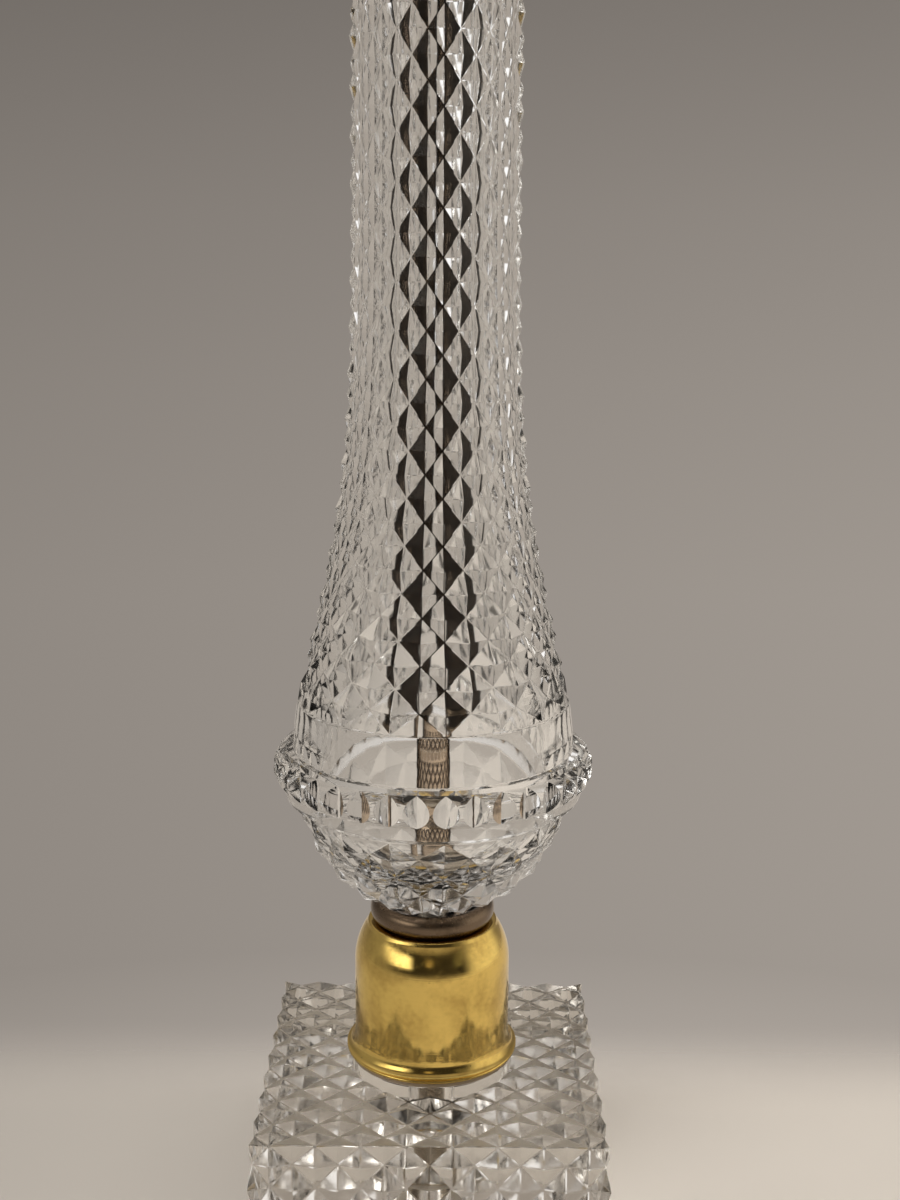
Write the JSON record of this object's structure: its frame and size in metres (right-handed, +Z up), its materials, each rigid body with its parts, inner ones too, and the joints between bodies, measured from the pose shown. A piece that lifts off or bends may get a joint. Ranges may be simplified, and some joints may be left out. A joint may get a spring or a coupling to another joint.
{
  "type": "crystal table lamp",
  "caption": "Tall table lamp with a hollow diamond-cut glass column and notched collar on a brass cup and square cut-glass base, with a screw lampholder, harp and finial.",
  "frame": {"origin": "centre of the felt underside, on the surface the lamp stands on", "axes": "+Z up along the column, -Y the front with the switch knob, +X to the right, in line with the harp"},
  "size_m": [0.127, 0.127, 0.7517],
  "materials": {
    "crystal": "cut and polished lead crystal",
    "felt": "pressed wool felt",
    "zinc_steel": "zinc plated",
    "spring_steel": "oiled",
    "raw_brass": "machined",
    "brown_plastic": "moulded",
    "fibre": "pressed fibre",
    "polished_brass": "polished",
    "bronze": "satin, dark patina",
    "soft_rubber": "matt",
    "nickel": "polished",
    "dark_nickel": "polished, dark",
    "plated_brass": "satin plated",
    "holder_brass": "spun and lacquered",
    "moulded_black": "moulded",
    "shell_aluminium": "drawn"
  },
  "bodies": {
    "lamp": {"base_crystal": "crystal", "base_felt": "felt", "base_washer": "zinc_steel", "base_lock_washer": "spring_steel", "base_nut": "raw_brass", "cord_bushing": "brown_plastic", "cup_washer": "fibre", "brass_cup": "polished_brass", "seating_ring": "bronze", "foot_washer": "soft_rubber", "column_crystal": "crystal", "threaded_rod": "zinc_steel", "bowl_washer": "nickel", "bowl_nut": "nickel", "lower_sleeve": "nickel", "sleeve_collar": "nickel", "upper_sleeve": "dark_nickel", "top_gasket": "soft_rubber", "top_cap": "polished_brass", "neck": "polished_brass", "harp_saddle": "plated_brass", "holder_cap": "holder_brass", "holder_shell": "holder_brass", "holder_liner": "fibre", "switch_body": "moulded_black", "screw_shell": "shell_aluminium", "centre_contact": "raw_brass", "terminal_screws": "raw_brass"},
    "harp": {"harp": "plated_brass"},
    "left_sleeve": {"harp_sleeve_left": "plated_brass"},
    "right_sleeve": {"harp_sleeve_right": "plated_brass"},
    "finial": {"finial": "polished_brass"},
    "switch": {"switch_shaft": "zinc_steel", "switch_knob": "moulded_black"}
  },
  "joints": [
    {"name": "harp_lift", "type": "slide", "parent": "lamp", "child": "harp", "axis": [0, 0, 1], "range_m": [0, 0.03]},
    {"name": "left_sleeve_slide", "type": "slide", "parent": "harp", "child": "left_sleeve", "axis": [0, 0, 1], "range_m": [0, 0.01]},
    {"name": "right_sleeve_slide", "type": "slide", "parent": "harp", "child": "right_sleeve", "axis": [0, 0, 1], "range_m": [0, 0.01]},
    {"name": "finial_lift", "type": "slide", "parent": "harp", "child": "finial", "axis": [0, 0, 1], "range_m": [0, 0.04]},
    {"name": "switch_turn", "type": "hinge", "parent": "lamp", "child": "switch", "pos_m": [0, -0.02, 0.52015], "axis": [0, -1, 0], "continuous": true}
  ]
}
